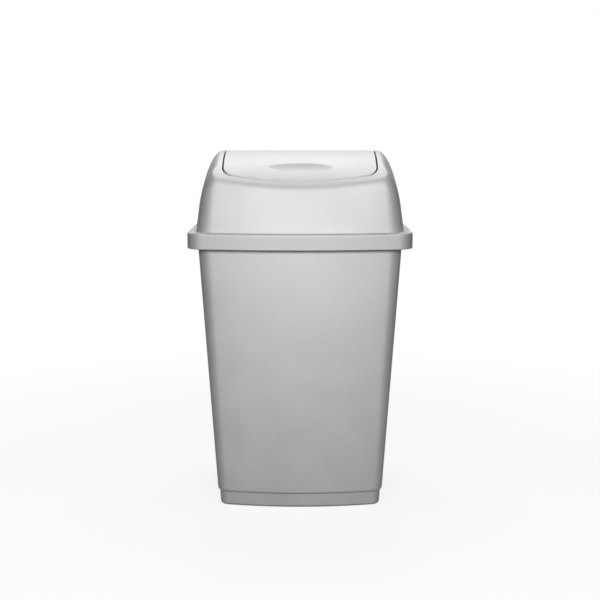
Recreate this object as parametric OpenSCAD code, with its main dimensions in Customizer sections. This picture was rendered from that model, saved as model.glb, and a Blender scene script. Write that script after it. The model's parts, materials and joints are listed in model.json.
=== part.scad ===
// Countertop bin with a swing lid, in millimetres.
// A tapered bucket on a stepped foot band, a lift-off hood with an overhanging collar,
// and an arched flap that swings both ways on two push-in pins.
// The front faces -Y, the bin stands on z = 0, and its middle is at x = y = 0.
// Each shell is one loft through outlines with bowed faces and rounded corners.

/* [Collar] */
// Width over the collar
collar_w = 260; // [240:1:290]
// Depth over the collar
collar_d = 220; // [205:1:250]
// Bow of the collar's front and back, from the middle to the corners
collar_bow = 15; // [10:0.5:18]
// Corner radius of the collar
collar_r = 21; // [17:0.5:26]
// Height of the collar band
collar_h = 18; // [15:0.5:24]
// Rounding of the collar's edges
collar_edge = 1.8; // [1:0.1:1.9]
// Bow of the two sides of every outline
side_bow = 1.8; // [1:0.1:3]

/* [Hood] */
// Wall of the lid
lid_wall = 2; // [1.6:0.1:2.4]
// Height from the ledge to the top of the arch
hood_h = 91; // [88:0.5:96]
// Width of the ledge between the collar's edge and the hood
ledge_w = 9.1; // [8:0.1:10.5]
// Bow of the hood's front and back at the ledge
hood_bow = 14.5; // [12:0.5:16]
// Bow of the hood's front and back at the top
hood_top_bow = 6; // [4:0.5:10]
// Corner radius of the hood at the ledge
hood_r = 24; // [20:0.5:28]
// Corner radius of the hood at the top
hood_top_r = 18; // [15:0.5:20]
// Fillet between the hood and its ledge
ledge_fillet = 0.8; // [0.6:0.1:1.6]
// Lean of the hood's sides, in degrees
hood_draft = 7.5; // [6.5:0.1:8.5]
// Lean of the hood's front and back, in degrees
front_draft = 13; // [12:0.1:13.5]
// Radius of the arched top
arch_r = 119; // [114:1:126]
// Reach of the side shoulders across the top
shoulder_in = 16; // [13:0.5:17]
// Reach of the side shoulders down the walls
shoulder_down = 44; // [32:1:48]
// Reach of the front and back creases across the top
crease_in = 2.6; // [2:0.1:3.4]
// Reach of the front and back creases down the walls
crease_down = 4; // [3:0.1:6]

/* [Flap] */
// Width of the hood's strip between a side shoulder and the opening
side_strip = 3.3; // [2:0.1:8]
// Width of the hood's strip between the front crease and the opening
front_strip = 3.8; // [2.5:0.1:8]
// Bow of the opening's front and back edges
opening_bow = 9; // [7:0.25:11]
// Corner radius of the opening
opening_r = 14; // [10:0.5:16]
// Bevel of the opening's edge
opening_edge = 0.5; // [0.3:0.1:0.8]
// Gap around the flap
flap_gap = 1.5; // [1.2:0.1:2]
// Thickness of the flap
flap_t = 2.2; // [1.8:0.1:2.6]
// Thickness of the flap's side ribs
rib_t = 2; // [1.5:0.1:2.5]
// Depth of the flap's side ribs, with the flap
rib_depth = 9; // [7:0.5:10]
// Depth of the flap's cross ribs, with the flap
cross_rib_depth = 6.3; // [5:0.1:9]
// Distance of the two cross ribs from the middle
cross_rib_y = 34; // [28:1:40]

/* [Finger recess] */
// Length of the recess, side to side
recess_w = 75.5; // [60:0.5:90]
// Width of the recess, along the arch
recess_l = 19; // [14:0.5:22]
// Depth of the recess
recess_depth = 2.5; // [1.5:0.1:3]
// Wall under the recess
recess_wall = 1.8; // [1.4:0.1:2.4]
// Distance of the recess from the middle of the flap, towards the front
recess_y = 63.4; // [60:0.2:66]

/* [Pivot] */
// Depth of the pivot's axis under the top of the arch
pivot_drop = 10; // [9:0.5:11]
// Radius of the pins
pin_r = 2.5; // [2:0.1:3]
// Radius of a pin's head
pin_head_r = 4; // [3.6:0.1:4.6]
// Thickness of a pin's head
pin_head_t = 1.5; // [1:0.1:2.5]
// Length of the chamfer at a pin's tip
pin_tip = 0.8; // [0.4:0.1:1.2]
// Length of the flap's bosses
boss_l = 10; // [8:0.5:14]
// Radius of the flap's bosses
boss_r = 5; // [4.4:0.1:5.6]
// Distance of the bearing lugs from the edge of the opening
lug_gap = 0.8; // [0.5:0.1:1.2]
// Thickness of the bearing lugs
lug_t = 3; // [2.5:0.1:3.2]
// Radius of the bearing lugs
lug_r = 12; // [11.5:0.5:14]
// Depth of a lug's root under the hood's surface
lug_root = 1.5; // [1.2:0.1:1.7]
// Running clearance around a pin
pin_play = 0.08; // [0.04:0.01:0.1]
// Play between a boss and its lug
end_play = 0.3; // [0.2:0.05:0.6]
// Radius of the stop pegs
peg_r = 1.8; // [1.4:0.1:2]
// Distance of the stop pegs under the pivot
peg_drop = 9.5; // [9:0.1:10]
// Angle at which the flap meets its stop pegs
stop_angle = 76.6; // [76.2:0.1:78]

/* [Bucket] */
// Height of the bucket's rim
bin_h = 331; // [300:1:380]
// Wall of the bucket
bin_wall = 2; // [1.6:0.1:2.6]
// Thickness of the bucket's floor
floor_t = 2.5; // [2:0.1:4]
// Distance of the bucket's wall inside the collar, at the rim
wall_in = 10.6; // [10:0.1:11.5]
// Distance of the bucket's wall inside the collar, at the foot band
wall_in_low = 29.3; // [27:0.1:32]
// Bow of the bucket's front and back at the rim
wall_bow = 14; // [11:0.5:15]
// Bow of the bucket's front and back at the foot
foot_bow = 11; // [8:0.5:12]
// Corner radius of the bucket at the rim
wall_r = 20; // [17:0.5:24]
// Corner radius of the bucket at the foot
foot_r = 14; // [11:0.5:17]
// Height of the step over the foot band
step_z = 18.5; // [15:0.5:24]
// Depth of the step
step_in = 2.3; // [1.5:0.1:3]
// Lean of the foot band over its height
foot_draft = 1; // [0:0.1:1.5]
// Rounding of the bucket's bottom edge
foot_edge = 3.5; // [2:0.1:4]
// Width of the ring that the bucket stands on
stand_w = 6; // [4:0.5:10]
// Depth of the recess under the floor
stand_h = 1.5; // [1:0.1:2]
// Play between the bucket's rim and the collar
rim_play = 0.6; // [0.4:0.05:1]
// Depth of the rim's turned-down lip
lip_h = 10; // [7:0.5:12]
// Rounding of the rim
rim_edge = 0.8; // [0.5:0.1:0.95]

/* [Hidden] */

plastic = [0.74, 0.74, 0.75];
pin_plastic = [0.62, 0.62, 0.63];

// Segments of a quarter outline: half a side, a corner, half a front
side_seg = 5;
corner_seg = 6;
front_seg = 5;
blend_seg = 6;
// Conic weights of the hood's blend: a tight front crease, and a side shoulder like an ellipse
front_weight = 0.95;
side_weight = 0.71;
// Room around a pin that is pressed into its boss
press_room = 0.02;
// Reach of a pin's shank past its lug
pin_past = 0.2;
// Bow of an edge that looks straight
straight_bow = 0.05;
// Length by which a cut runs past what it cuts
past = 1;

ledge_z = bin_h + lid_wall;
top_z = ledge_z + hood_h;
collar_z = ledge_z - collar_h;
arch_z = top_z - arch_r;
pivot_z = top_z - pivot_drop;

// An outline is [half width, half depth, front bow, side bow, corner radius]
collar = [collar_w / 2, collar_d / 2, collar_bow, side_bow, collar_r];
hood_base = [collar_w / 2 - ledge_w, collar_d / 2 - ledge_w, hood_bow, side_bow, hood_r];
side_lean = tan(hood_draft) * hood_h;
front_lean = tan(front_draft) * hood_h;
hood_top = [hood_base[0] - side_lean, hood_base[1] - front_lean, hood_top_bow, side_bow, hood_top_r];

// The crest where the middle of the front wall would meet the arch
front_low = [0, hood_base[1]];
front_high = [0, hood_top[1]];
crest_y = lean(front_low, front_high, meet(front_low, front_high, 0, top_z))[1];
opening = [hood_top[0] - shoulder_in - side_strip, crest_y - crease_in - front_strip,
    opening_bow, straight_bow, opening_r];
flap_edge = inset(opening, flap_gap);
lug_x = opening[0] + lug_gap;
boss_x = lug_x - end_play - boss_l;

wall_top = [collar_w / 2 - wall_in, collar_d / 2 - wall_in, wall_bow, side_bow, wall_r];
wall_low = [collar_w / 2 - wall_in_low, collar_d / 2 - wall_in_low, foot_bow, side_bow, foot_r];
foot_top = inset(wall_low, step_in);
foot_low = inset(foot_top, foot_draft);

// The same outline with every face moved in by d
function inset(s, d) = let (k = pow((s[0] - d) / s[0], 2))
    [s[0] - d, s[1] - d, s[2] * k, s[3] * k, s[4] - d];
// The outline a share t of the way from s to e
function between(s, e, t) = s * (1 - t) + e * t;
function arc(cx, cy, r, a0, a1, n) =
    [for (i = [1 : n]) let (a = a0 + (a1 - a0) * i / n) [cx + r * cos(a), cy + r * sin(a)]];
// A quarter of an outline: a side arc, a corner that is tangent to both, and a front arc
function quarter(s) = let (
    rs = (s[1] * s[1] + s[3] * s[3]) / (2 * s[3]),
    rf = (s[0] * s[0] + s[2] * s[2]) / (2 * s[2]),
    sx = s[0] - rs,
    fy = s[1] - rf,
    ds = rs - s[4],
    df = rf - s[4],
    d = norm([sx, fy]),
    k = (df * df - ds * ds + d * d) / (2 * d),
    h = sqrt(df * df - k * k),
    u = [sx, -fy] / d,
    c = [0, fy] + k * u + h * [u[1], -u[0]],
    a_side = atan2(c[1], c[0] - sx),
    a_front = atan2(c[1] - fy, c[0]))
    concat(arc(sx, 0, rs, 0, a_side, side_seg),
        arc(c[0], c[1], s[4], a_side, a_front, corner_seg),
        arc(0, fy, rf, a_front, 90, front_seg));
function outline(s) = let (q = quarter(s), n = len(q)) concat(
    q,
    [for (i = [n - 2 : -1 : 0]) [-q[i][0], q[i][1]]],
    [[-s[0], 0]],
    [for (p = q) [-p[0], -p[1]]],
    [for (i = [n - 2 : -1 : 0]) [q[i][0], -q[i][1]]],
    [[s[0], 0]]);
function ring(s, z) = [for (p = outline(s)) [p[0], p[1], z]];
// Rings that round the edge between a face d inside s at z0 and the wall of s at z1
function round_edge(s, z0, z1, d, n = 3) =
    [for (i = [0 : n]) let (a = 90 * i / n) ring(inset(s, d * (1 - sin(a))), z1 + (z0 - z1) * cos(a))];

// The arch that lies drop under the top surface, over the points of an outline
function arch(p, drop) = [p[0], p[1], arch_z + sqrt(pow(arch_r - drop, 2) - p[1] * p[1])];
function arch_ring(s, drop) = [for (p = outline(s)) arch(p, drop)];
// The point of a leaning wall line, from b at the ledge to t at the top, at height z
function lean(b, t, z) = b + (t - b) * (z - ledge_z) / hood_h;
// The height at which a leaning wall line meets the arch
function meet(b, t, drop, z, n = 5) =
    n == 0 ? z : meet(b, t, drop, arch(lean(b, t, z), drop)[2], n - 1);
function unit(v) = v / norm(v);
// How much an outline faces sideways at point i: 1 on a side, 0 on the front
function sideways(o, i) = let (
    n = len(o),
    v = unit(o[(i + 1) % n] - o[(i + n - 1) % n])) v[1] * v[1];
function inward(o, i) = let (
    n = len(o),
    v = unit(o[(i + 1) % n] - o[(i + n - 1) % n])) [-v[1], v[0]];
// The hood's blend from wall to arch, a ring for each step of a conic arc
function hood_rings(d) = let (
    base = outline(inset(hood_base, d)),
    top = outline(inset(hood_top, d)),
    n = len(base))
    [for (k = [0 : blend_seg]) [for (i = [0 : n - 1]) let (
        t = k / blend_seg,
        m = sideways(base, i),
        z = meet(base[i], top[i], d, top_z - d),
        c = lean(base[i], top[i], z),
        zl = z - crease_down - (shoulder_down - crease_down) * m,
        low = lean(base[i], top[i], zl),
        high = c + (crease_in + (shoulder_in - crease_in) * m) * inward(base, i),
        w = front_weight + (side_weight - front_weight) * m,
        a = pow(1 - t, 2),
        b = 2 * w * t * (1 - t),
        e = t * t,
        p = (a * [low[0], low[1], zl] + b * [c[0], c[1], z] + e * arch(high, d)) / (a + b + e)) p]];
function reversed(l) = [for (i = [len(l) - 1 : -1 : 0]) l[i]];

// A solid through a list of rings, with flat ends or closed on itself
module loft(rings, closed = false) {
    n = len(rings[0]);
    m = len(rings);
    bands = [for (k = [0 : closed ? m - 1 : m - 2]) for (i = [0 : n - 1]) let (
        a = k * n + i,
        b = k * n + (i + 1) % n,
        c = ((k + 1) % m) * n + (i + 1) % n,
        d = ((k + 1) % m) * n + i) each [[a, c, b], [a, d, c]]];
    ends = closed ? [] : [[for (i = [0 : n - 1]) i], [for (i = [n - 1 : -1 : 0]) (m - 1) * n + i]];
    polyhedron(points = [for (r = rings) each r], faces = concat(bands, ends), convexity = 8);
}

// The tapered bucket, with its floor, foot band, rim and turned-down lip
module bin_body() {
    rim = inset(collar, lid_wall + rim_play);
    rim_low = bin_h - bin_wall;
    floor_z = stand_h + floor_t;
    stand = inset(foot_low, foot_edge + stand_w);
    inner_low = inset(foot_top, bin_wall);
    color(plastic) loft(concat(
        [ring(inset(stand, stand_h), stand_h), ring(stand, 0)],
        round_edge(foot_low, 0, foot_edge, foot_edge, 4),
        round_edge(wall_low, step_z, step_z + step_in, step_in),
        [ring(wall_top, rim_low)],
        [ring(inset(rim, bin_wall), rim_low)],
        [ring(inset(rim, bin_wall), bin_h - lip_h)],
        [ring(rim, bin_h - lip_h)],
        reversed(round_edge(rim, bin_h, bin_h - rim_edge, rim_edge)),
        [ring(inset(wall_top, bin_wall - rim_edge / 2), bin_h)],
        [ring(inset(wall_top, bin_wall), bin_h - rim_edge)],
        [ring(inset(wall_low, bin_wall), step_z + step_in)],
        [ring(inner_low, step_z - step_in / 2)],
        reversed(round_edge(inset(foot_low, bin_wall), floor_z, floor_z + foot_edge, foot_edge))));
}

// Everything under the arch that lies d below the top surface, on the right side
module arch_body(d) {
    translate([0, 0, arch_z]) rotate([0, 90, 0]) cylinder(r = arch_r - d, h = collar_w / 2, $fn = 360);
}

// A bearing lug under the side of the opening, with its stop peg
module lug() {
    reach = lug_x - flap_edge[0] + rib_t;
    difference() {
        union() {
            intersection() {
                union() {
                    translate([lug_x, 0, pivot_z]) rotate([0, 90, 0])
                        cylinder(r = lug_r, h = lug_t, $fn = 96);
                    translate([lug_x, -lug_r, pivot_z]) cube([lug_t, 2 * lug_r, pivot_drop]);
                }
                arch_body(lug_root);
            }
            translate([lug_x - reach, 0, pivot_z - peg_drop]) rotate([0, 90, 0])
                cylinder(r = peg_r, h = reach + lug_t / 2, $fn = 32);
        }
        translate([lug_x - past, 0, pivot_z]) rotate([0, 90, 0])
            cylinder(r = pin_r + pin_play, h = lug_t + 2 * past, $fn = 64);
    }
}

// The hood, its ledge and collar, one moulding
module lid_hood() {
    skirt = inset(collar, lid_wall);
    hood_in = inset(hood_base, lid_wall);
    color(plastic) union() {
        loft(concat(
            [ring(skirt, collar_z)],
            round_edge(collar, collar_z, collar_z + collar_edge, collar_edge),
            reversed(round_edge(collar, ledge_z, ledge_z - collar_edge, collar_edge)),
            [for (a = [0 : 30 : 90])
                ring(inset(hood_base, ledge_fillet * (sin(a) - 1)), ledge_z + ledge_fillet * (1 - cos(a)))],
            hood_rings(0),
            [arch_ring(inset(opening, -opening_edge), 0)],
            [arch_ring(opening, opening_edge)],
            [arch_ring(opening, lid_wall)],
            reversed(hood_rings(lid_wall)),
            [ring(hood_in, ledge_z - lid_wall)],
            [ring(skirt, ledge_z - lid_wall)]), closed = true);
        for (side = [0, 1]) mirror([side, 0, 0]) lug();
    }
}

// A slice of the arch between two depths under its surface, from x = -w to x = w
module arch_slice(d0, d1, w) {
    translate([-w, 0, arch_z]) rotate([0, 90, 0]) difference() {
        cylinder(r = arch_r - d0, h = 2 * w, $fn = 360);
        translate([0, 0, -past]) cylinder(r = arch_r - d1, h = 2 * (w + past), $fn = 360);
    }
}

module flap_prism() {
    translate([0, 0, arch_z]) linear_extrude(height = arch_r + past) polygon(outline(flap_edge));
}

// The long round body that scoops the finger recess, grown by t
module scoop(t) {
    slope = asin(recess_y / arch_r);
    over = (pow(recess_l / 2, 2) - pow(recess_depth, 2)) / (2 * recess_depth);
    bend = (pow(recess_w / 2, 2) + pow(recess_depth, 2)) / (2 * recess_depth);
    r_mid = over + recess_depth + t;
    half = recess_w / 2 + recess_l / 2;
    dist = arch_r + over;
    steps = 20;
    translate([0, -dist * sin(slope), arch_z + dist * cos(slope)]) rotate([0, 90, 0])
        rotate_extrude($fn = 180) polygon(concat([[0, -half]],
            [for (i = [0 : steps]) let (x = half * (2 * i / steps - 1))
                [r_mid - bend + sqrt(bend * bend - x * x), x]],
            [[0, half]]));
}

// A boss on the side of the flap, with the web that meets the stop peg
module boss() {
    web_low = peg_drop * cos(stop_angle) - peg_r;
    web_l = peg_drop + 3 * peg_r;
    translate([boss_x, 0, pivot_z]) rotate([0, 90, 0]) cylinder(r = boss_r, h = boss_l, $fn = 64);
    intersection() {
        translate([flap_edge[0] - rib_t, -web_l, pivot_z - web_low])
            cube([rib_t, 2 * web_l, pivot_drop + web_low]);
        arch_body(flap_t / 2);
    }
}

// The arched flap, with its ribs, bosses and finger recess
module swing_flap() {
    side_x = flap_edge[0];
    color(plastic) difference() {
        union() {
            intersection() {
                union() {
                    arch_slice(0, flap_t, side_x + past);
                    difference() {
                        arch_slice(flap_t / 2, rib_depth, side_x + past);
                        arch_slice(0, rib_depth + past, side_x - rib_t);
                    }
                    intersection() {
                        arch_slice(flap_t / 2, cross_rib_depth, side_x - rib_t / 2);
                        for (s = [-1, 1]) translate([-side_x, s * cross_rib_y - rib_t / 2, arch_z])
                            cube([2 * side_x, rib_t, arch_r]);
                    }
                    intersection() {
                        scoop(recess_wall);
                        arch_slice(flap_t / 2, rib_depth, side_x - rib_t);
                    }
                }
                flap_prism();
            }
            for (side = [0, 1]) mirror([side, 0, 0]) boss();
        }
        scoop(0);
        for (side = [0, 1]) mirror([side, 0, 0]) translate([side_x - 2 * boss_l, 0, pivot_z])
            rotate([0, 90, 0]) cylinder(r = pin_r + press_room, h = 3 * boss_l, $fn = 64);
    }
}

// A headed pin, pushed outwards through a boss and into its lug
module pivot_pin() {
    shank = boss_l + end_play + lug_t + pin_past;
    color(pin_plastic) translate([boss_x, 0, pivot_z]) rotate([0, 90, 0]) union() {
        translate([0, 0, -pin_head_t]) cylinder(r = pin_head_r, h = pin_head_t, $fn = 64);
        translate([0, 0, -pin_head_t / 2])
            cylinder(r = pin_r, h = shank + pin_head_t / 2, $fn = 64);
        translate([0, 0, shank]) cylinder(r1 = pin_r, r2 = pin_r - pin_tip, h = pin_tip, $fn = 64);
    }
}

module pivot_pin_left() {
    mirror([1, 0, 0]) pivot_pin();
}

module pivot_pin_right() {
    pivot_pin();
}

bin_body();
lid_hood();
swing_flap();
pivot_pin_left();
pivot_pin_right();
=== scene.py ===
# %% [markdown]
# # A countertop bin with a swing lid
# The bin is three thin plastic mouldings and two small pins. Each moulding is a shell whose
# outline changes with height, so each is built as a loft: one ring of points, extruded again
# and again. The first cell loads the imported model, whose pieces say where everything goes.

# %% Load the frame
import json
import math

import bmesh
import bpy
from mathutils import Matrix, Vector


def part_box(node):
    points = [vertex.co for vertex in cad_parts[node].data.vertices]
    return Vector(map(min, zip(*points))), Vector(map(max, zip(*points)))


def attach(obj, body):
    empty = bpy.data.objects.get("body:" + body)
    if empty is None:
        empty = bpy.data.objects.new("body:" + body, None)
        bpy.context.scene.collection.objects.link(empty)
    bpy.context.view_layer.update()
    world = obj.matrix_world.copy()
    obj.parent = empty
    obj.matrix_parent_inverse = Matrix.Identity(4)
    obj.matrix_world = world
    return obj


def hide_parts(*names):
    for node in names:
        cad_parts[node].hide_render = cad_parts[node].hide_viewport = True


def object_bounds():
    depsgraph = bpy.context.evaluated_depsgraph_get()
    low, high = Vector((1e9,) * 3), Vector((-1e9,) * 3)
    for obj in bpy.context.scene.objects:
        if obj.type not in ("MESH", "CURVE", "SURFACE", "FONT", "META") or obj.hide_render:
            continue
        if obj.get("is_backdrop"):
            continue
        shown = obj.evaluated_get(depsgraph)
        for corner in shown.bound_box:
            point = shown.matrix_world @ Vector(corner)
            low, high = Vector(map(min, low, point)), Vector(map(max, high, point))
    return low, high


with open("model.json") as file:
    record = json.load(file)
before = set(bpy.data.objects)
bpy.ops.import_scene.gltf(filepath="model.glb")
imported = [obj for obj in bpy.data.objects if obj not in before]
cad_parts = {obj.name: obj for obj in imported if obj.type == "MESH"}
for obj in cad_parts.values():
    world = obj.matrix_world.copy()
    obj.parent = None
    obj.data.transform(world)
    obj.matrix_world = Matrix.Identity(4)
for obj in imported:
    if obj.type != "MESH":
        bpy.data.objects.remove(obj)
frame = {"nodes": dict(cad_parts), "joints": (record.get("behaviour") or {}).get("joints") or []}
cad_low, cad_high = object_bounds()
print("CAD box in mm:", [round(c * 1000, 1) for c in (*cad_low, *cad_high)])

# %% [markdown]
# ## Sizes
# Lengths are in millimetres here and turn into metres in one place, where a mesh is made.
# The overall sizes are read from the frame, and the rest are the moulding's own.

# %% Sizes
MM = 0.001
half_w = cad_high.x / MM
half_d = cad_high.y / MM
top_z = cad_high.z / MM
rim_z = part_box("bin_body")[1].z / MM
collar_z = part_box("lid_hood")[0].z / MM

lid_wall = 2.0
ledge_z = rim_z + lid_wall
hood_h = top_z - ledge_z
arch_r = 119.0
arch_z = top_z - arch_r
side_bow = 1.8
print("the hood stands", round(hood_h, 1), "mm over a ledge at", round(ledge_z, 1), "mm")

# %% [markdown]
# ## The outline
# Seen from above, every ring of the bin is a rectangle with bowed faces and rounded corners.
# Its faces are arcs of large circles, and each corner is an arc tangent to both of them. A
# scaled square would give flat faces, and a superellipse would not let the bow and the
# corner be set apart, so the three arcs are worked out exactly. An outline is first kept as
# five sizes, because sizes can be inset and blended before any point is made.

# %% Outline sizes


def section(half_width, half_depth, bow, corner, side=side_bow):
    """One outline: its half sizes, the bows of its front and sides, and its corner radius."""
    return (half_width, half_depth, bow, side, corner)


def inset(s, d):
    """The outline s moved in by d all round, or out where d is negative."""
    # A bow shrinks with the square of the width, which keeps the curve of its face.
    k = ((s[0] - d) / s[0]) ** 2
    return (s[0] - d, s[1] - d, s[2] * k, s[3] * k, s[4] - d)


def between(s, e, t):
    """The outline a share t of the way from s to e."""
    return tuple(a * (1 - t) + b * t for a, b in zip(s, e))


collar = section(half_w, half_d, bow=15.0, corner=21.0)
print("the collar's half width, half depth, bows and corner:", [round(c, 1) for c in collar])

# %% [markdown]
# One quarter of the ring is enough, because the other three are its mirror images. The
# corner's centre is as far inside both large arcs as its own radius, so it lies where two
# smaller circles around their centres cross.

# %% Outline points
SIDE_STEPS, CORNER_STEPS, BACK_STEPS = 12, 12, 14


def arc(cx, cy, r, a0, a1, steps):
    """Points along an arc, all but its first."""
    angles = [a0 + (a1 - a0) * i / steps for i in range(1, steps + 1)]
    return [(cx + r * math.cos(a), cy + r * math.sin(a)) for a in angles]


def quarter(s):
    """Points from just past the middle of the right side to the middle of the back."""
    a, b, bow, side, corner = s
    side_r = (b * b + side * side) / (2 * side)
    back_r = (a * a + bow * bow) / (2 * bow)
    side_x, back_y = a - side_r, b - back_r
    to_side, to_back = side_r - corner, back_r - corner
    d = math.hypot(side_x, back_y)
    k = (to_back * to_back - to_side * to_side + d * d) / (2 * d)
    h = math.sqrt(to_back * to_back - k * k)
    ux, uy = side_x / d, -back_y / d
    cx, cy = k * ux + h * uy, back_y + k * uy - h * ux
    side_end = math.atan2(cy, cx - side_x)
    back_start = math.atan2(cy - back_y, cx)
    return (
        arc(side_x, 0, side_r, 0, side_end, SIDE_STEPS)
        + arc(cx, cy, corner, side_end, back_start, CORNER_STEPS)
        + arc(0, back_y, back_r, back_start, math.pi / 2, BACK_STEPS)
    )


def outline(s):
    """The whole ring, anticlockwise, with the middle of the right side as its last point."""
    q = quarter(s)
    back = [(-x, y) for x, y in q[-2::-1]]
    front = [(x, -y) for x, y in q[-2::-1]]
    return q + back + [(-s[0], 0.0)] + [(-x, -y) for x, y in q] + front + [(s[0], 0.0)]


print("points in a ring:", len(outline(collar)))

# %% [markdown]
# ## The loft
# A circle gives the first ring its points, and each further ring is the edge loop extruded
# and its new points moved into place. The rings then line up point by point, so the faces
# are clean quads that shade smoothly. A subdivided cage would need far fewer points, but its
# corners would only come near the measured arcs. A shell that closes on itself, like the
# lid, welds its last ring onto its first, and any other gets a face on each end.

# %% Loft helpers
WELD = 1e-5


def extrude_loop(bm, loop, points):
    """Extrudes a closed loop of vertices and moves each new vertex to its point."""
    edges = [bm.edges.get((a, b)) for a, b in zip(loop, loop[1:] + loop[:1])]
    grown = bmesh.ops.extrude_edge_only(bm, edges=edges)["geom"]
    new = {v for v in grown if isinstance(v, bmesh.types.BMVert)}
    following = []
    for v in loop:
        following += [e.other_vert(v) for e in v.link_edges if e.other_vert(v) in new]
    for v, p in zip(following, points):
        v.co = p
    return following


def loft(bm, rings, closed=False):
    """Skins a list of rings, and welds the last to the first or puts a face on each end."""
    made = bmesh.ops.create_circle(bm, cap_ends=not closed, segments=len(rings[0]), radius=1.0)
    loop = made["verts"]
    for v, p in zip(loop, rings[0]):
        v.co = p
    for points in rings[1:]:
        loop = extrude_loop(bm, loop, points)
    if closed:
        extrude_loop(bm, loop, rings[0])
        bmesh.ops.remove_doubles(bm, verts=bm.verts[:], dist=WELD)
    else:
        bmesh.ops.contextual_create(bm, geom=loop)
    bmesh.ops.recalc_face_normals(bm, faces=bm.faces[:])


print("a closed loft welds points within", WELD, "mm")

# %% Rings and finished pieces
SHARP_ANGLE = 40.0


def ring(s, z):
    """The points of the outline s at the height z."""
    return [Vector((x, y, z)) for x, y in outline(s)]


def round_edge(s, z0, z1, d, steps=6):
    """Rings that round the edge between a face d inside s at z0 and the wall of s at z1."""
    turns = [math.pi / 2 * i / steps for i in range(steps + 1)]
    return [ring(inset(s, d * (1 - math.sin(t))), z1 + (z0 - z1) * math.cos(t)) for t in turns]


def finished(name, bm):
    """Makes an object of a mesh drawn in millimetres, smooth but for its sharp edges."""
    bmesh.ops.scale(bm, vec=(MM, MM, MM), verts=bm.verts[:])
    mesh = bpy.data.meshes.new(name)
    bm.to_mesh(mesh)
    bm.free()
    mesh.polygons.foreach_set("use_smooth", [True] * len(mesh.polygons))
    mesh.set_sharp_from_angle(angle=math.radians(SHARP_ANGLE))
    piece = bpy.data.objects.new(name, mesh)
    bpy.context.scene.collection.objects.link(piece)
    print(name, "has", len(mesh.polygons), "faces")
    return piece


print("edges that turn more than", SHARP_ANGLE, "degrees stay sharp")

# %% [markdown]
# ## The bucket
# The bucket tapers so that bins stack and the moulding leaves its mould. Its wall steps in
# over a foot band, its rim turns out and down under the lid's collar, and it stands on a
# narrow ring. A solid outside with a Solidify modifier would give an even wall, but neither
# the rim nor the standing ring. So the loft starts under the floor, runs up the outside and
# over the rim, and goes down the inside to the floor again.

# %% Bucket outlines
bin_wall, floor_t = 2.0, 2.5
top_in, foot_in = 10.6, 29.3
wall_top = section(half_w - top_in, half_d - top_in, bow=14.0, corner=20.0)
wall_low = section(half_w - foot_in, half_d - foot_in, bow=11.0, corner=14.0)
step_z, step_in = 18.5, 2.3
foot_top = inset(wall_low, step_in)
foot_low = inset(foot_top, 1.0)
foot_edge, stand_w, stand_h = 3.5, 6.0, 1.5
rim_play = 0.6
rim = inset(collar, lid_wall + rim_play)
lip_z, rim_edge = rim_z - 10.0, 0.8
wall_z0, wall_z1 = step_z + step_in, rim_z - bin_wall
print("the wall leans in", round(foot_in - top_in, 1), "mm over", round(wall_z1 - wall_z0, 1), "mm")

# %% [markdown]
# Smooth shading spreads a bend over the faces next to it. A long face would look dented, so
# two close rings stand at each bend and keep the shading of the long wall flat.

# %% Foot and wall rings
CLOSE = 0.006


def wall_rings(d, z0, z1, steps):
    """The tapered wall, d inside its outer face, with a close ring at each end."""
    shares = [0.0, CLOSE] + [i / steps for i in range(1, steps)] + [1 - CLOSE, 1.0]
    return [ring(inset(between(wall_low, wall_top, t), d), z0 + (z1 - z0) * t) for t in shares]


def foot_rings():
    """From under the floor, down to the standing ring and up the foot band to the step."""
    stand = inset(foot_low, foot_edge + stand_w)
    rings = [ring(inset(stand, stand_h + out), stand_h) for out in (2.0, 0.2)]
    rings += [ring(inset(stand, 0.2), 0.15), ring(inset(stand, -0.2), 0.0)]
    rings += [ring(inset(foot_low, foot_edge + 0.6), 0.0)]
    rings += round_edge(foot_low, 0, foot_edge, foot_edge, 7)
    rings += [ring(between(foot_low, foot_top, 0.1), foot_edge + 1.0)]
    rings += [ring(between(foot_low, foot_top, 0.9), step_z - 1.9)]
    rings += [ring(foot_top, step_z - 0.9), ring(inset(foot_top, -0.15), step_z - 0.3)]
    rings += [ring(inset(foot_top, -0.5), step_z)]
    return rings + round_edge(wall_low, step_z + 0.1, wall_z0, 1.7, 6)[:-1]


print("rings up the foot:", len(foot_rings()))

# %% Rim and inside rings


def rim_rings():
    """Out over the wall, down the lip, around its end and back up over the rim."""
    under = wall_z1 + 0.35
    rings = [ring(inset(wall_top, -0.4), wall_z1 + 0.3), ring(inset(wall_top, -1.5), under)]
    rings += [ring(inset(rim, bin_wall + 1), under), ring(inset(rim, bin_wall), wall_z1)]
    rings += [ring(inset(rim, bin_wall), z) for z in (wall_z1 - 1, lip_z + 1)]
    rings += [ring(inset(rim, d), lip_z) for d in (bin_wall - 0.2, 0.2)]
    rings += [ring(rim, lip_z + 0.3), ring(rim, rim_z - rim_edge - 0.6)]
    rings += round_edge(rim, rim_z, rim_z - rim_edge, rim_edge, 5)[::-1]
    rings += [ring(inset(wall_top, bin_wall - 0.5), rim_z)]
    rings += [ring(inset(wall_top, bin_wall - 0.1), rim_z - 0.3)]
    return rings + [ring(inset(wall_top, bin_wall), rim_z - rim_edge)]


def inside_rings():
    """Down the inner wall and round the edge of the floor."""
    floor_z = stand_h + floor_t
    rings = wall_rings(bin_wall, wall_z0, wall_z1 - 1, 10)[::-1]
    rings += [ring(inset(foot_top, bin_wall), step_z - 1.2)]
    inner = inset(foot_low, bin_wall)
    rings += [ring(inner, floor_z + foot_edge + 1)]
    rings += round_edge(inner, floor_z, floor_z + foot_edge, foot_edge, 5)[::-1]
    return rings + [ring(inset(inner, foot_edge + 1), floor_z)]


print("rings over the rim:", len(rim_rings()), "and down the inside:", len(inside_rings()))

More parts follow.
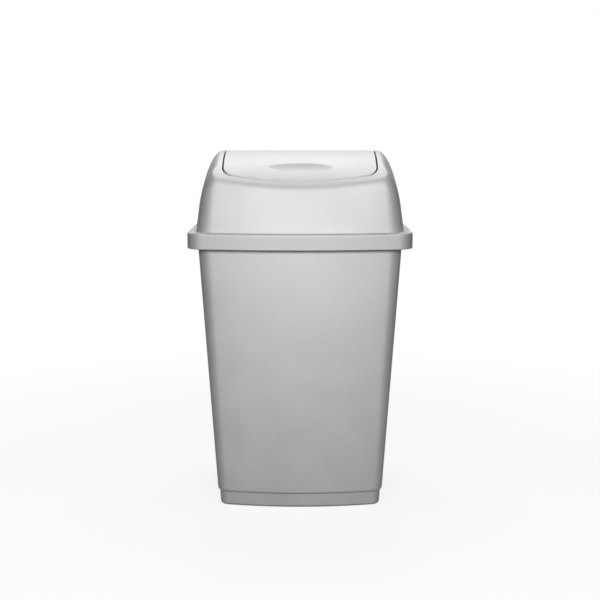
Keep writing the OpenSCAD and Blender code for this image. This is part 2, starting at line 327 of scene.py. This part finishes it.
# %% Bucket
bucket_mesh = bmesh.new()
outside = foot_rings() + wall_rings(0.0, wall_z0, wall_z1, 16)
loft(bucket_mesh, outside + rim_rings() + inside_rings())
bucket = finished("bucket_shell", bucket_mesh)
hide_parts("bin_body")
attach(bucket, "bin")

# %% [markdown]
# ## The hood
# The hood is a leaning wall that meets an arched top. The arch is part of a cylinder that
# lies from side to side. A point of the wall is found from its share of the height, and a
# few rounds of trying bring it onto the arch.

# %% Points on the arch
hood_in = 9.1
hood_base = section(half_w - hood_in, half_d - hood_in, bow=14.5, corner=24.0)
side_angle, front_angle, TRIES = 7.5, 13.0, 6
side_lean, front_lean = (math.tan(math.radians(a)) * hood_h for a in (side_angle, front_angle))
hood_top = section(hood_base[0] - side_lean, hood_base[1] - front_lean, bow=6.0, corner=18.0)


def on_arch(x, y, drop):
    """The point over (x, y) on the arch, or drop inside it."""
    return Vector((x, y, arch_z + math.sqrt((arch_r - drop) ** 2 - y * y)))


def arch_ring(s, drop):
    """The points of the outline s on the arch, or drop inside it."""
    return [on_arch(x, y, drop) for x, y in outline(s)]


def corner_point(low, high, drop):
    """Where the leaning wall line from low to high meets the arch."""
    z = top_z - drop
    for _ in range(TRIES):
        t = (z - ledge_z) / hood_h
        x, y = (a + (b - a) * t for a, b in zip(low, high))
        z = on_arch(x, y, drop).z
    return Vector((x, y, z))


crest = corner_point((0, -hood_base[1]), (0, -hood_top[1]), 0.0)
print("the front wall would meet the arch", round(top_z - crest.z, 1), "mm under the top")

# %% [markdown]
# Where wall and arch meet, the front has a tight crease and the sides have a broad shoulder.
# A bevel along that edge would have one width, or one that jumps from edge to edge. So each
# point of the ring gets its own blend: a conic arc from the wall, past the corner, to the
# arch, whose reach follows how far the ring faces sideways.

# %% Wall and blend rings
shoulder_in, shoulder_down = 16.0, 44.0
crease_in, crease_down = 2.6, 4.0
front_weight, side_weight = 0.95, 0.71


def blend_rows(d):
    """For each point of the ring: its foot, and the start, corner, end and weight of its blend."""
    low, high = outline(inset(hood_base, d)), outline(inset(hood_top, d))
    n = len(low)
    rows = []
    for i in range(n):
        along = (Vector(low[(i + 1) % n]) - Vector(low[i - 1])).normalized()
        m = along.y**2
        c = corner_point(low[i], high[i], d)
        z = c.z - crease_down - (shoulder_down - crease_down) * m
        t = (z - ledge_z) / hood_h
        start = Vector([a + (b - a) * t for a, b in zip(low[i], high[i])] + [z])
        reach = crease_in + (shoulder_in - crease_in) * m
        end = on_arch(c.x - along.y * reach, c.y + along.x * reach, d)
        weight = front_weight + (side_weight - front_weight) * m
        rows.append((Vector((*low[i], ledge_z)), start, c, end, weight))
    return rows


def conic(start, corner, end, weight, t):
    """A point of the arc from start to end that its weight pulls towards the corner."""
    a, b, e = (1 - t) ** 2, 2 * weight * t * (1 - t), t * t
    return (a * start + b * corner + e * end) / (a + b + e)


def hood_rings(d, steps=16):
    """The hood d inside its outer face: up the wall, then along the blend onto the arch."""
    rows = blend_rows(d)
    rings = [[row[0].lerp(row[1], t) for row in rows] for t in (0.3, 0.6, 0.85, 0.97)]
    return rings + [[conic(*row[1:], k / steps) for row in rows] for k in range(steps + 1)]


print("the blend reaches", crease_in, "mm inwards at the front and", shoulder_in, "at the sides")

# %% [markdown]
# The opening follows the hood: it leaves an even strip at each side and one behind the
# crease. It is not cut out. The rings of the shell end at its edge and turn down through the
# wall, so the edge is clean and can be rounded, which a Boolean's would not be.

# %% Opening
side_strip, front_strip = 3.3, 3.8
opening = section(
    hood_top[0] - shoulder_in - side_strip,
    -crest.y - crease_in - front_strip,
    bow=9.0,
    corner=14.0,
    side=0.05,
)


def opening_rings():
    """From the end of the blend across the strip, and down through the wall of the opening."""
    last, edge = hood_rings(0.0)[-1], arch_ring(inset(opening, -0.5), 0.0)
    rings = [[a.lerp(b, t) for a, b in zip(last, edge)] for t in (0.15, 0.4, 0.7)]
    lip = ((0.5, 0.0), (0.3, 0.01), (0.09, 0.09), (0.0, 0.3), (0.0, lid_wall - 0.2))
    rings += [arch_ring(inset(opening, -out), drop) for out, drop in lip]
    return rings + [arch_ring(inset(opening, -0.2), lid_wall)]


print("the opening is", round(2 * opening[0], 1), "by", round(2 * opening[1], 1), "mm")

# %% [markdown]
# The lid is one moulding: collar, ledge and hood. Its rings run up the outside, over the
# arch to the opening, through the wall and back down the inside, and close on themselves.
# Each outer edge gets a few rings of rounding, because a moulded edge is never sharp.

# %% Collar and inner rings
collar_edge, skirt_edge = 1.8, 0.8
skirt = inset(collar, lid_wall)


def collar_rings():
    """Up the collar from the end of its skirt, over the ledge and into the foot of the hood."""
    rings = [ring(skirt, collar_z + 0.4), ring(inset(skirt, -0.1), collar_z + 0.1)]
    rings += round_edge(collar, collar_z, collar_z + skirt_edge, skirt_edge, 5)
    straight = (collar_z + skirt_edge + 0.8, ledge_z - collar_edge - 0.8)
    rings += [ring(collar, z) for z in straight]
    rings += round_edge(collar, ledge_z, ledge_z - collar_edge, collar_edge, 6)[::-1]
    rings += [ring(inset(collar, collar_edge + 0.8), ledge_z)]
    rings += [ring(inset(hood_base, -1.4), ledge_z)]
    fillet = [(0.6, 0.0), (0.37, 0.05), (0.18, 0.18), (0.05, 0.37)]
    rings += [ring(inset(hood_base, -out), ledge_z + up) for out, up in fillet]
    wall = [(between(hood_base, hood_top, up / hood_h), ledge_z + up) for up in (0.9, 2.2)]
    return rings + [ring(s, z) for s, z in wall]


def under_rings():
    """Down the inner face of the hood and out under the ledge to the skirt."""
    inner, under = inset(hood_base, lid_wall), ledge_z - lid_wall
    rings = hood_rings(lid_wall, 10)[::-1]
    rings += [ring(inner, under + 0.8), ring(inset(inner, -0.8), under)]
    return rings + [ring(inset(skirt, 0.8), under), ring(skirt, under - 0.8)]


print("rings up the collar:", len(collar_rings()), "and down the inside:", len(under_rings()))

# %% Lid
hood_mesh = bmesh.new()
lid_outside = collar_rings() + hood_rings(0.0)
loft(hood_mesh, lid_outside + opening_rings() + under_rings(), closed=True)
hood = finished("hood_shell", hood_mesh)
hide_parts("lid_hood")
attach(hood, "lid")

# %% [markdown]
# ## Bearing lugs
# Two lugs hang from the hood's side strips and carry the flap's pins. Seen from the side a
# lug is round under the pin and runs straight up into the hood, so its ring is a circle
# whose upper half is pushed out to a square. A cylinder and a box would cross and leave a
# seam. The loft runs round the rim and back through the bore.

# %% Lug sizes and rings
hinge = {joint["name"]: joint for joint in frame["joints"]}["flap_swing"]
pivot_z = hinge["pos_m"][2] / MM
flap_gap, flap_t, rib_t = 1.5, 2.2, 2.0
flap_edge = inset(opening, flap_gap)
lug_x, lug_t, lug_r, lug_root = opening[0] + 0.8, 3.0, 12.0, 1.5
pin_r, pin_play, bevel = 2.5, 0.08, 0.3
peg_r, peg_drop = 1.8, 9.5
ROUND = 64
turn = [math.tau * i / ROUND for i in range(ROUND)]


def circle(x, r, z):
    """A circle that faces along X, around the point (x, 0, z)."""
    return [Vector((x, r * math.cos(a), z + r * math.sin(a))) for a in turn]


def lug_ring(x, r):
    """The lug's outline: a half circle under the pin, straight sides up into the hood."""
    points = []
    for a in turn:
        c, s = math.cos(a), math.sin(a)
        widest = max(abs(c), s, 1e-9) if s > 0 else 1.0
        y = r * c / widest
        rise = on_arch(x, y, lug_root).z - pivot_z if s > 0 else r
        points.append(Vector((x, y, pivot_z + rise * s / widest)))
    return points


print("the hinge runs", round(top_z - pivot_z, 1), "mm under the top of the arch")

# %% [markdown]
# Pegs and bosses are turned pieces: circles along X whose radius follows a profile. Each is
# drawn for the right-hand side. The left-hand one is mirrored, and its faces are reversed,
# because a negative scale turns them inside out.

# %% Turned pieces


def turned(bm, profile, z, closed=False):
    """A round bar along X whose radius follows a profile of (x, radius) points."""
    loft(bm, [circle(x, r, z) for x, r in profile], closed)


def bore_profile(x0, x1, r):
    """Back through a bore from x1 to x0, with a small bevel at each end."""
    return [(x1, r + bevel), (x1 - bevel, r), (x0 + bevel, r), (x0, r + bevel)]


def on_side(bm, side):
    """Turns a right-hand piece into the left-hand one."""
    if side < 0:
        bmesh.ops.scale(bm, vec=(-1, 1, 1), verts=bm.verts[:])
        bmesh.ops.reverse_faces(bm, faces=bm.faces[:])


print("a turned piece has", ROUND, "points round")

# %% [markdown]
# A peg under each pin stops the flap when it has swung in as far as it goes. Its root is
# buried in the lug, because the two are one moulding.

# %% Lugs and stop pegs
lugs = []
for side, word in ((1, "right"), (-1, "left")):
    lug_mesh = bmesh.new()
    x0, x1 = lug_x, lug_x + lug_t
    rims = [lug_ring(x0, lug_r - bevel), lug_ring(x0 + bevel, lug_r)]
    rims += [lug_ring(x1 - bevel, lug_r), lug_ring(x1, lug_r - bevel)]
    bores = [circle(x, r, pivot_z) for x, r in bore_profile(x0, x1, pin_r + pin_play)]
    loft(lug_mesh, rims + bores, closed=True)
    on_side(lug_mesh, side)
    lugs.append(finished(f"bearing_lug_{word}", lug_mesh))

    peg_mesh = bmesh.new()
    tip = flap_edge[0] - rib_t
    peg = [(tip, peg_r - 0.5), (tip + 0.15, peg_r - 0.15), (tip + 0.5, peg_r)]
    turned(peg_mesh, peg + [(lug_x + lug_t / 2, peg_r)], pivot_z - peg_drop)
    on_side(peg_mesh, side)
    lugs.append(finished(f"stop_peg_{word}", peg_mesh))
for lug in lugs:
    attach(lug, "lid")

# %% [markdown]
# ## The flap
# The flap continues the hood's arch with a small gap all round. An oval recess near its
# front is where a finger pushes. Pushing points of an even grid down would leave a jagged
# edge, so the rings of the plate start at its edge and close in on the oval. The recess
# then has its own clean rings, and the arch keeps its true curve.
#
# In the photograph the recess is dark along its rear edge and fades towards the front, and
# no bright front wall shows. So its floor slopes down towards the front, and a short wall
# there faces away from the camera. The underside bulges by as much, to keep the wall even.

# %% Recess
recess_y, recess_w, recess_l, recess_depth = 63.4, 75.5, 19.0, 3.5
recess_reach = recess_l / 2 * math.cos(math.asin(recess_y / arch_r))
deepest_ahead = 0.5


def recess_ring(share):
    """An oval in the recess, share times its size, with a point for each of the edge's."""
    edge = outline(flap_edge)
    angles = [math.atan2((y + recess_y) / flap_edge[1], x / flap_edge[0]) for x, y in edge]
    half_l, half = share * recess_reach, share * recess_w / 2
    middle = -recess_y - deepest_ahead * recess_reach * max(0.0, 1 - share)
    return [(half * math.cos(a), half_l * math.sin(a) + middle) for a in angles]


def dish(share, soft=0.03):
    """Depth of the recess at a share of its half size, with a softened lip."""
    raw = 1 - share**3
    return recess_depth * 0.5 * (raw + math.sqrt(raw * raw + soft * soft))


print("the recess is", recess_w, "by", recess_l, "mm and", recess_depth, "mm deep")

# %% Flap plate
PLATE_STEPS, PLATE_EASE = 26, 1.1
LIP_SHARES = (1.08, 1.05, 1.02, 1.0, 0.98, 0.95)
BOWL_SHARES = (0.9, 0.82, 0.7, 0.58, 0.46, 0.34, 0.22, 0.1)


def plate_rings(drop):
    """One face of the flap, from near its edge to the middle of the recess."""
    outer, inner = outline(inset(flap_edge, 0.8)), recess_ring(1.12)
    rings = []
    for k in range(PLATE_STEPS + 1):
        t = (k / PLATE_STEPS) ** PLATE_EASE
        points = [[p + (q - p) * t for p, q in zip(a, b)] for a, b in zip(outer, inner)]
        rings.append([on_arch(x, y, drop) for x, y in points])
    for share in LIP_SHARES + BOWL_SHARES:
        rings.append([on_arch(x, y, drop + dish(share)) for x, y in recess_ring(share)])
    return rings


flap_mesh = bmesh.new()
flap_lip = ((0.45, flap_t), (0.2, flap_t - 0.4), (0.2, 0.3), (0.28, 0.08), (0.5, 0.0))
edge_rings = [arch_ring(inset(flap_edge, d), drop) for d, drop in flap_lip]
loft(flap_mesh, plate_rings(flap_t)[::-1] + edge_rings + plate_rings(0.0))
flap = finished("flap_panel", flap_mesh)
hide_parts("swing_flap")
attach(flap, "flap")

# %% [markdown]
# ## Under the flap
# A thin arched plate would twist when it is pushed, so the moulding has a rib along each
# side and two across. Each side rib carries a boss for a pin, and is a little deeper there,
# where it meets the stop peg. A box could not follow the arch, so a rib is a loft of
# four-sided sections along its length.

# %% Side ribs and bosses
rib_depth = 9.0
stop_angle = 76.6
web_z = pivot_z - (peg_drop * math.cos(math.radians(stop_angle)) - peg_r)
web_l = peg_drop + 3 * peg_r
rib_start, jump = 7.0, 0.01
boss_r, boss_l, boss_gap, skin, pin_fit = 5.0, 10.0, 0.3, 0.25, 0.02
boss_x = lug_x - boss_gap - boss_l
side_x = flap_edge[0] - skin


def side_section(x_out, y):
    """A section of the side rib, from the web or the arch below up into the plate."""
    x_in = flap_edge[0] - rib_t
    low = web_z if abs(y) < web_l else on_arch(0, y, rib_depth).z
    high = on_arch(0, y, flap_t / 2).z
    return [Vector((x, y, z)) for x, z in ((x_in, low), (x_out, low), (x_out, high), (x_in, high))]


# Two sections that stand close together make the step at the end of the web.
around = [(x - skin, y) for x, y in quarter(flap_edge)]
bends = [(x, y) for x, y in around if x + skin > flap_edge[0] - rib_t + 0.5 and y > web_l + 1]
half_rib = [(side_x, y) for y in (rib_start, web_l - jump, web_l + jump)] + bends
stations = [(x, -y) for x, y in half_rib[::-1]] + [(side_x, 0.0)] + half_rib
flap_parts = []
for side, word in ((1, "right"), (-1, "left")):
    rib_mesh = bmesh.new()
    loft(rib_mesh, [side_section(x, y) for x, y in stations])
    on_side(rib_mesh, side)
    flap_parts.append(finished(f"flap_rib_{word}", rib_mesh))

    boss_mesh = bmesh.new()
    x0, x1 = boss_x, boss_x + boss_l
    outer = [(x0, boss_r - bevel), (x0 + bevel, boss_r), (x1 - bevel, boss_r), (x1, boss_r - bevel)]
    turned(boss_mesh, outer + bore_profile(x0, x1, pin_r + pin_fit), pivot_z, closed=True)
    on_side(boss_mesh, side)
    flap_parts.append(finished(f"pin_boss_{word}", boss_mesh))

# %% [markdown]
# The two ribs across are straight bars that slope with the arch. The bevel operator rounds
# all their edges at once, which takes less than extra rings would. It gets every edge that
# turns more than a set angle.

# %% Cross ribs
cross_depth, cross_y, CUTS = 6.3, 34.0, 8


def soften(bm, width, angle=50.0):
    """Bevels the sharp edges of a mesh."""
    bm.normal_update()
    sharp = [e for e in bm.edges if e.calc_face_angle(0.0) > math.radians(angle)]
    bmesh.ops.bevel(bm, geom=sharp, offset=width, offset_type="OFFSET", affect="EDGES",
                    segments=2, profile=0.5, material=-1)


for side, word in ((1, "back"), (-1, "front")):
    rib_mesh = bmesh.new()
    span = flap_edge[0] - rib_t / 2
    y0, y1 = side * cross_y - rib_t / 2, side * cross_y + rib_t / 2
    low, high = cross_depth, flap_t / 2
    corners = ((y0, low), (y1, low), (y1, high), (y0, high))
    cuts = [span * (2 * i / CUTS - 1) for i in range(CUTS + 1)]
    loft(rib_mesh, [[on_arch(x, y, drop) for y, drop in corners] for x in cuts])
    soften(rib_mesh, bevel)
    flap_parts.append(finished(f"cross_rib_{word}", rib_mesh))
for part in flap_parts:
    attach(part, "flap")

# %% [markdown]
# ## Finishes
# The bin is moulded in a silver-grey plastic: fine metal flakes lie in a grey body under a
# satin skin. The flakes send most light straight back, so the bin darkens quickly where it
# turns away, which plain grey plastic does not do, and the shader is partly metallic. Broad
# streaks follow the flow of the melt, and fine noise in the bump is the mould's texture. All
# of it is procedural, because an image would need a seam somewhere on these round shells.

# %% Noise helpers
NOISE_LOW, NOISE_HIGH = 0.3, 0.7


def noise(nodes, links, place, scale, detail):
    """A noise texture's value, read at a place."""
    texture = nodes.new("ShaderNodeTexNoise")
    texture.inputs["Scale"].default_value = scale
    texture.inputs["Detail"].default_value = detail
    links.new(place, texture.inputs["Vector"])
    return texture.outputs["Fac"]


def spread(nodes, links, value, low, high):
    """Maps noise, which mostly keeps away from 0 and 1, to a range."""
    scaled = nodes.new("ShaderNodeMapRange")
    ends = (("From Min", NOISE_LOW), ("From Max", NOISE_HIGH), ("To Min", low), ("To Max", high))
    for name, number in ends:
        scaled.inputs[name].default_value = number
    links.new(value, scaled.inputs["Value"])
    return scaled.outputs["Result"]


print("noise from", NOISE_LOW, "to", NOISE_HIGH, "is spread over a range")

# %% Silver plastic
STREAK_SCALE, STREAK_STRETCH = 500.0, 0.08
CLOUD_SCALE, CLOUD_TINT, CLOUD_ROUGH = 25.0, 0.015, 0.02
GRAIN_SCALE, GRAIN_STRENGTH, GRAIN_DEPTH = 1500.0, 0.15, 0.0001


def plastic(name, colour, metallic, rough, streak):
    """Satin plastic with flow streaks along Z; streak is how far they vary the colour."""
    material = bpy.data.materials.new(name)
    material.use_nodes = True
    nodes, links = material.node_tree.nodes, material.node_tree.links
    shader = nodes["Principled BSDF"]
    shader.inputs["Metallic"].default_value = metallic
    shader.inputs["IOR"].default_value = 1.5
    where = nodes.new("ShaderNodeTexCoord").outputs["Object"]
    flow = nodes.new("ShaderNodeMapping")
    flow.inputs["Scale"].default_value = (1.0, 1.0, STREAK_STRETCH)
    links.new(where, flow.inputs["Vector"])
    streaks = noise(nodes, links, flow.outputs["Vector"], STREAK_SCALE, detail=4.0)
    clouds = noise(nodes, links, where, CLOUD_SCALE, detail=3.0)
    tint = nodes.new("ShaderNodeMath")
    tint.operation = "MULTIPLY"
    links.new(spread(nodes, links, streaks, 1 - streak, 1 + streak), tint.inputs[0])
    links.new(spread(nodes, links, clouds, 1 - CLOUD_TINT, 1 + CLOUD_TINT), tint.inputs[1])
    shade = nodes.new("ShaderNodeVectorMath")
    shade.operation = "SCALE"
    shade.inputs[0].default_value = (colour, colour, colour)
    links.new(tint.outputs["Value"], shade.inputs["Scale"])
    links.new(shade.outputs["Vector"], shader.inputs["Base Color"])
    satin = spread(nodes, links, clouds, rough - CLOUD_ROUGH, rough + CLOUD_ROUGH)
    links.new(satin, shader.inputs["Roughness"])
    bump = nodes.new("ShaderNodeBump")
    bump.inputs["Strength"].default_value = GRAIN_STRENGTH
    bump.inputs["Distance"].default_value = GRAIN_DEPTH
    links.new(noise(nodes, links, where, GRAIN_SCALE, detail=3.0), bump.inputs["Height"])
    links.new(bump.outputs["Normal"], shader.inputs["Normal"])
    print(name, "has", len(nodes), "nodes")
    return material


bin_finish = plastic("silver_bucket", 0.63, metallic=0.9, rough=0.6, streak=0.01)
# The lid is the bucket's plastic. Its darker grey is painted shade against the lamps' extra light
# on the lid.
shaded_lid_finish = plastic("silver_lid_painted_shade", 0.52, metallic=0.9, rough=0.66, streak=0.005)
pin_finish = plastic("pin_grey", 0.40, metallic=0.1, rough=0.5, streak=0.01)

# %% [markdown]
# The lid and its flap get a darker grey than the bucket: painted shade that takes down the extra
# light the lamps put on them. The pins are small turned pieces inside the lid that hardly
# show, so they stay the imported model's own meshes, and only get a finish.

# %% Dress the pieces


def dress(piece, material):
    """Gives a piece its material."""
    piece.data.materials.clear()
    piece.data.materials.append(material)
    print(piece.name, "is", material.name)


dress(bucket, bin_finish)
for piece in (hood, *lugs):
    dress(piece, shaded_lid_finish)
for piece in (flap, *flap_parts):
    dress(piece, shaded_lid_finish)
for name in ("pivot_pin_left", "pivot_pin_right"):
    dress(frame["nodes"][name], pin_finish)

# %% [markdown]
# ## Floor
# The photograph is a cut-out on white. Here the camera sees a real pale floor near the bin,
# so that it catches the bin's shadow, and the floor fades outwards to a shader that is pure
# white, so that no horizon shows. A white floor would also throw light up onto the bin and
# wash out its dark lower half, so the rays that light the bin find the floor dark.

# %% Node helpers


def rise(nodes, links, value, start, end, low=0.0, high=1.0):
    """Goes smoothly from low to high as the value goes from start to end."""
    step = nodes.new("ShaderNodeMapRange")
    step.interpolation_type = "SMOOTHSTEP"
    numbers = (("From Min", start), ("From Max", end), ("To Min", low), ("To Max", high))
    for name, number in numbers:
        step.inputs[name].default_value = number
    links.new(value, step.inputs["Value"])
    return step.outputs["Result"]


def combine(nodes, links, operation, *values):
    """A sum, product or the like of some values."""
    node = nodes.new("ShaderNodeMath")
    node.operation = operation
    for value, socket in zip(values, node.inputs):
        links.new(value, socket)
    return node.outputs["Value"]


print("rise and combine are for the floor and the room")

# %% Floor
FLOOR_SEEN, FLOOR_LIT, FLOOR_R = 0.85, 0.14, 8000.0
FADE_FROM, FADE_TO, WHITE_NEAR = 0.25, 0.9, 0.8

floor_mesh = bmesh.new()
bmesh.ops.create_circle(floor_mesh, cap_ends=True, segments=96, radius=FLOOR_R)
floor = finished("floor", floor_mesh)
floor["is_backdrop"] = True

pale = bpy.data.materials.new("pale_floor")
pale.use_nodes = True
nodes, links = pale.node_tree.nodes, pale.node_tree.links
matt = nodes["Principled BSDF"]
matt.inputs["Roughness"].default_value = 0.9
rays = nodes.new("ShaderNodeLightPath").outputs
seen = combine(nodes, links, "MAXIMUM", rays["Is Camera Ray"], rays["Is Transmission Ray"])
links.new(rise(nodes, links, seen, 0.0, 1.0, FLOOR_LIT, FLOOR_SEEN), matt.inputs["Base Color"])
away = nodes.new("ShaderNodeVectorMath")
away.operation = "LENGTH"
links.new(nodes.new("ShaderNodeTexCoord").outputs["Object"], away.inputs[0])
fade = rise(nodes, links, away.outputs["Value"], FADE_FROM, FADE_TO, low=WHITE_NEAR)
blend = nodes.new("ShaderNodeMixShader")
links.new(combine(nodes, links, "MULTIPLY", fade, seen), blend.inputs["Fac"])
links.new(matt.outputs["BSDF"], blend.inputs[1])
links.new(nodes.new("ShaderNodeEmission").outputs["Emission"], blend.inputs[2])
links.new(blend.outputs["Shader"], nodes["Material Output"].inputs["Surface"])
floor.data.materials.append(pale)
print("the floor is white from", FADE_TO, "m out")

# %% [markdown]
# ## Studio
# A broad lamp above and behind the camera lights the front, and makes the upper half of the
# bin brighter than its foot. A small one over the front and a larger one behind the top
# light the arch from both sides and leave a darker band along the crease between them. The
# last one is low behind the bin and lights the back. It is narrow, because a wide one would
# catch the bin's dark side edges, and it hides from the camera.

# %% Lamps


def area_lamp(name, place, aim, width, height, watts):
    """A flat lamp at a place, turned to face its aim."""
    lamp = bpy.data.lights.new(name, "AREA")
    lamp.shape = "RECTANGLE"
    lamp.size, lamp.size_y = width, height
    lamp.energy = watts
    holder = bpy.data.objects.new(name, lamp)
    holder.location = place
    holder.rotation_euler = (Vector(aim) - Vector(place)).to_track_quat("-Z", "Y").to_euler()
    bpy.context.scene.collection.objects.link(holder)
    print("lamp", name, "gives", watts, "W")
    return holder


area_lamp("front", (0.0, -1.9, 0.9), (0, 0, 0.28), 2.2, 0.5, 43.0)
area_lamp("top", (0.0, -0.55, 1.35), (0, 0, 0.28), 0.6, 0.4, 1.0)
area_lamp("rear", (0.0, 0.35, 1.35), (0, 0, 0.4), 0.8, 0.5, 8.5)
back_lamp = area_lamp("back", (0.0, 1.9, 0.4), (0, 0, 0.2), 0.4, 0.5, 12.0)
back_lamp.visible_camera = False

# %% [markdown]
# The room lights the bin's sides from its front half only: light from further back would
# brighten the dark edges, which the camera sees at a shallow angle. Behind the bin stands a
# white backdrop that the arched top mirrors, so glossy rays find it. The camera sees white
# all round, and so would glass. Each span below is where a light fades in, as a part of the
# direction: 1 is straight to the side or straight behind, and the front is negative.

# %% Room
SIDE, ROOM, BACKDROP = 0.45, 0.03, 0.9
ASIDE, AHEAD, BEHIND = (0.35, 0.75), (0.35, -0.1), (0.6, 0.85)

world = bpy.data.worlds.new("studio")
bpy.context.scene.world = world
world.use_nodes = True
nodes, links = world.node_tree.nodes, world.node_tree.links
nodes.clear()
split = nodes.new("ShaderNodeSeparateXYZ")
links.new(nodes.new("ShaderNodeTexCoord").outputs["Generated"], split.inputs["Vector"])
aside = combine(nodes, links, "ABSOLUTE", split.outputs["X"])
ahead = rise(nodes, links, split.outputs["Y"], *AHEAD)
side_light = rise(nodes, links, aside, *ASIDE, ROOM, SIDE)
sides = combine(nodes, links, "MULTIPLY", side_light, ahead)
behind = rise(nodes, links, split.outputs["Y"], *BEHIND, high=BACKDROP)
middle = rise(nodes, links, aside, *ASIDE[::-1])
backdrop = combine(nodes, links, "MULTIPLY", behind, middle)
rays = nodes.new("ShaderNodeLightPath").outputs
level = combine(nodes, links, "MULTIPLY", backdrop, rays["Is Glossy Ray"])
for least in (sides, rays["Is Camera Ray"], rays["Is Transmission Ray"]):
    level = combine(nodes, links, "MAXIMUM", level, least)
light = nodes.new("ShaderNodeBackground")
links.new(level, light.inputs["Color"])
output = nodes.new("ShaderNodeOutputWorld")
links.new(light.outputs["Background"], output.inputs["Surface"])
print("the sides get", SIDE, "of white, and glossy rays find a backdrop of", BACKDROP)

# %% [markdown]
# ## Camera
# The camera stands 1.2 m in front of the bin, a little above it, and looks down at it. The
# place, tilt and lens come from fitting the curved ledge, collar and foot to the photograph.
# Moving it closer with a wider lens would make those curves dip more than they do there.

# %% Camera
DISTANCE, EYE_HEIGHT, LOOK_DOWN, LENS = 1.2, 0.4488, 9.85, 58.92

camera_data = bpy.data.cameras.new("camera")
camera_data.sensor_width = 36.0
camera_data.lens = LENS
camera = bpy.data.objects.new("camera", camera_data)
camera.location = (0.0, -DISTANCE, EYE_HEIGHT)
camera.rotation_euler = (math.radians(90 - LOOK_DOWN), 0.0, 0.0)
bpy.context.scene.collection.objects.link(camera)
bpy.context.scene.camera = camera
bpy.context.scene.view_settings.view_transform = "Standard"
print("camera", DISTANCE, "m away, looking", LOOK_DOWN, "degrees down")

# %% [markdown]
# The last cell writes the dressed bin's box, to set beside the CAD box that the first cell wrote.

# %% Sizes out, and finish
low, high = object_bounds()
print("visual box in mm:", [round(c / MM, 1) for c in (*low, *high)])
